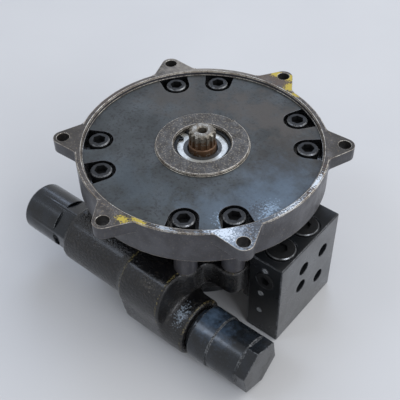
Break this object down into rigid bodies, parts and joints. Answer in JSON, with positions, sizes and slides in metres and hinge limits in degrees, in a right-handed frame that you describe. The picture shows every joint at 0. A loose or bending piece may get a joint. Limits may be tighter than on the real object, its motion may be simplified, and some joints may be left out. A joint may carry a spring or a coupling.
{
  "type": "hydraulic swing motor",
  "caption": "Hydraulic swing motor with a six-ear flange, splined shaft, spring-applied brake, valve casting with long caps and a bolted port block.",
  "frame": {"origin": "shaft axis in the mounting plane, the top of the rim and ears", "axes": "+Z out along the shaft, +X towards the port block, the valve casting on the -Y side"},
  "size_m": [0.256, 0.257, 0.1545],
  "materials": {
    "cast_grey": "rough dark grey casting with oil stains",
    "cast_black": "rough black painted casting",
    "block_black": "machined and black, semi gloss",
    "cap_black": "glossy black turned steel",
    "screw_black": "black oxide",
    "bright": "bright pressed and turned steel",
    "shaft_steel": "ground steel with a trace of oil",
    "ground": "ground steel",
    "bronze": "bronze",
    "spring_steel": "dark spring wire",
    "rubber": "black seal rubber",
    "seal_rubber": "grey seal rubber",
    "lining": "brown lined disc"
  },
  "bodies": {
    "case": {"front_flange": "cast_grey", "flange_screws": "screw_black", "seal_circlip": "shaft_steel", "seal_case": "bright", "seal_lip": "seal_rubber", "front_bearing_outer": "ground", "swash_plate": "ground", "valve_plate": "bronze", "valve_plate_pin": "ground", "rear_bearing_outer": "ground", "brake_springs": "spring_steel", "steel_plates": "ground", "motor_housing": "cast_black", "housing_oring": "rubber", "rear_cover": "cast_black", "rear_cover_screws": "screw_black", "rear_cover_oring": "rubber", "left_cap": "cap_black", "left_cap_oring": "rubber", "left_spring": "spring_steel", "right_cap": "cap_black", "right_cap_oring": "rubber", "right_spring": "spring_steel", "port_block": "block_black", "port_block_screws": "screw_black", "relief_plugs": "screw_black", "relief_seats": "ground", "relief_spring_a": "spring_steel", "relief_spring_b": "spring_steel", "side_plug": "screw_black", "gallery_plugs": "bright"},
    "rotor": {"drive_shaft": "shaft_steel", "front_bearing_inner": "ground", "rear_bearing_inner": "ground", "ball_guide": "ground", "block_spring": "spring_steel", "cylinder_block": "ground", "pistons": "ground", "friction_discs": "lining"},
    "slipper_ring": {"slippers": "bronze", "retainer_plate": "ground"},
    "front_cage": {"front_bearing_cage": "bronze", "front_bearing_balls": "bright"},
    "rear_cage": {"rear_bearing_cage": "bronze", "rear_bearing_balls": "bright"},
    "brake": {"brake_piston": "ground", "brake_piston_rings": "rubber"},
    "left_valve": {"left_spool": "ground", "left_spring_seat": "ground"},
    "right_valve": {"right_spool": "ground", "right_spring_seat": "ground"},
    "relief_a": {"relief_poppet_a": "ground"},
    "relief_b": {"relief_poppet_b": "ground"}
  },
  "joints": [
    {"name": "shaft_turn", "type": "hinge", "parent": "case", "child": "rotor", "pos_m": [0, 0, 0], "axis": [0, 0, 1], "continuous": true, "deforming": ["pistons"]},
    {"name": "slipper_turn", "type": "hinge", "parent": "case", "child": "slipper_ring", "pos_m": [0, 0, -0.0605], "axis": [0, -0.2588, 0.9659], "continuous": true},
    {"name": "front_cage_turn", "type": "hinge", "parent": "case", "child": "front_cage", "pos_m": [0, 0, -0.0255], "axis": [0, 0, 1], "continuous": true},
    {"name": "rear_cage_turn", "type": "hinge", "parent": "case", "child": "rear_cage", "pos_m": [0, 0, -0.124], "axis": [0, 0, 1], "continuous": true},
    {"name": "brake_slide", "type": "slide", "parent": "case", "child": "brake", "axis": [0, 0, 1], "range_m": [0, 0.002], "stiffness_N_per_m": 20000, "springref_m": -0.002, "deforming": ["brake_springs"]},
    {"name": "left_spool_slide", "type": "slide", "parent": "case", "child": "left_valve", "axis": [-1, 0, 0], "range_m": [0, 0.005], "stiffness_N_per_m": 2000, "springref_m": -0.004, "deforming": ["left_spring"]},
    {"name": "right_spool_slide", "type": "slide", "parent": "case", "child": "right_valve", "axis": [1, 0, 0], "range_m": [0, 0.005], "stiffness_N_per_m": 2000, "springref_m": -0.004, "deforming": ["right_spring"]},
    {"name": "relief_a_slide", "type": "slide", "parent": "case", "child": "relief_a", "axis": [0, 0, 1], "range_m": [0, 0.0018], "stiffness_N_per_m": 2000, "springref_m": -0.002, "deforming": ["relief_spring_a"]},
    {"name": "relief_b_slide", "type": "slide", "parent": "case", "child": "relief_b", "axis": [0, 0, 1], "range_m": [0, 0.0018], "stiffness_N_per_m": 2000, "springref_m": -0.002, "deforming": ["relief_spring_b"]}
  ],
  "couplings": [
    {"joint": "slipper_turn", "follows": "shaft_turn", "ratio": 1},
    {"joint": "front_cage_turn", "follows": "shaft_turn", "ratio": 0.39688},
    {"joint": "rear_cage_turn", "follows": "shaft_turn", "ratio": 0.38175}
  ]
}
